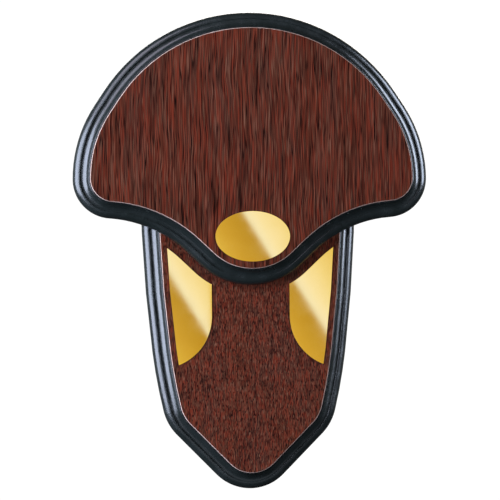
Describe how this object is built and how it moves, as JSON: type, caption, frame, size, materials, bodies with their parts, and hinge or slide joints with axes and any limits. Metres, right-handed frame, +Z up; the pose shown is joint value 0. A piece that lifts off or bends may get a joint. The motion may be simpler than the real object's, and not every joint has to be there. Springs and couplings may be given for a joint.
{
  "type": "game bird display plaque",
  "caption": "Two-board wall plaque for displaying a game bird's tail fan: fan-shaped front board clamped on a tapered back board, blank brass plates.",
  "frame": {"origin": "middle of the keyhole hanger's entry hole, on the rear plane of the back board, which lies on the wall", "axes": "+Z up the plaque's length, +Y out of the plaque's back into the wall, -Y the way the front faces, +X to the right seen from the front"},
  "size_m": [0.254, 0.0327, 0.341],
  "materials": {
    "moulded_mdf": "gloss black lacquer on the moulded edge, bare brown fibreboard behind",
    "wood_grain_sheet": "satin red-brown wood grain",
    "polished_brass": "mirror polished and lacquered",
    "adhesive_film": "matte",
    "zinc_plated_steel": "bright zinc plate"
  },
  "bodies": {
    "back": {"back_board": "moulded_mdf", "back_face_sheet": "wood_grain_sheet", "left_plate": "polished_brass", "left_plate_tape": "adhesive_film", "right_plate": "polished_brass", "right_plate_tape": "adhesive_film", "board_screws": "zinc_plated_steel", "keyhole_hanger": "zinc_plated_steel", "hanger_screws": "zinc_plated_steel"},
    "front": {"front_board": "moulded_mdf", "front_face_sheet": "wood_grain_sheet", "oval_plate": "polished_brass", "oval_plate_tape": "adhesive_film"}
  },
  "joints": [
    {"name": "clamp_slide", "type": "slide", "parent": "back", "child": "front", "axis": [0, -1, 0], "range_m": [0, 0.008]}
  ]
}
